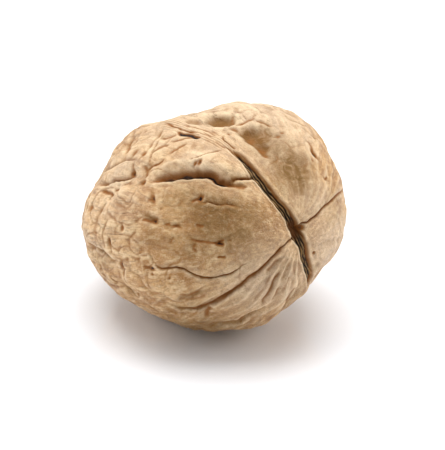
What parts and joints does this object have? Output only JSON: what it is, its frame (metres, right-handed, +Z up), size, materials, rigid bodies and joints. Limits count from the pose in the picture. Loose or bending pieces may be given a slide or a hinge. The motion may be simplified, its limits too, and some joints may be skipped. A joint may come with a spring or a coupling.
{
  "type": "walnut",
  "caption": "Whole walnut in its closed, wrinkled shell, lying on its side on a small flat spot, with an open seam groove round its raised stem end.",
  "frame": {"origin": "middle of the bottom of the nut's box, on the surface it rests on", "axes": "+X is the level direction of the long axis toward the raised stem end, +Z is up, and +Y is toward the cheek that is turned up"},
  "size_m": [0.0418, 0.035, 0.0313],
  "materials": {
    "shell": "matte"
  },
  "bodies": {
    "root": {"walnut": "shell"}
  },
  "joints": []
}
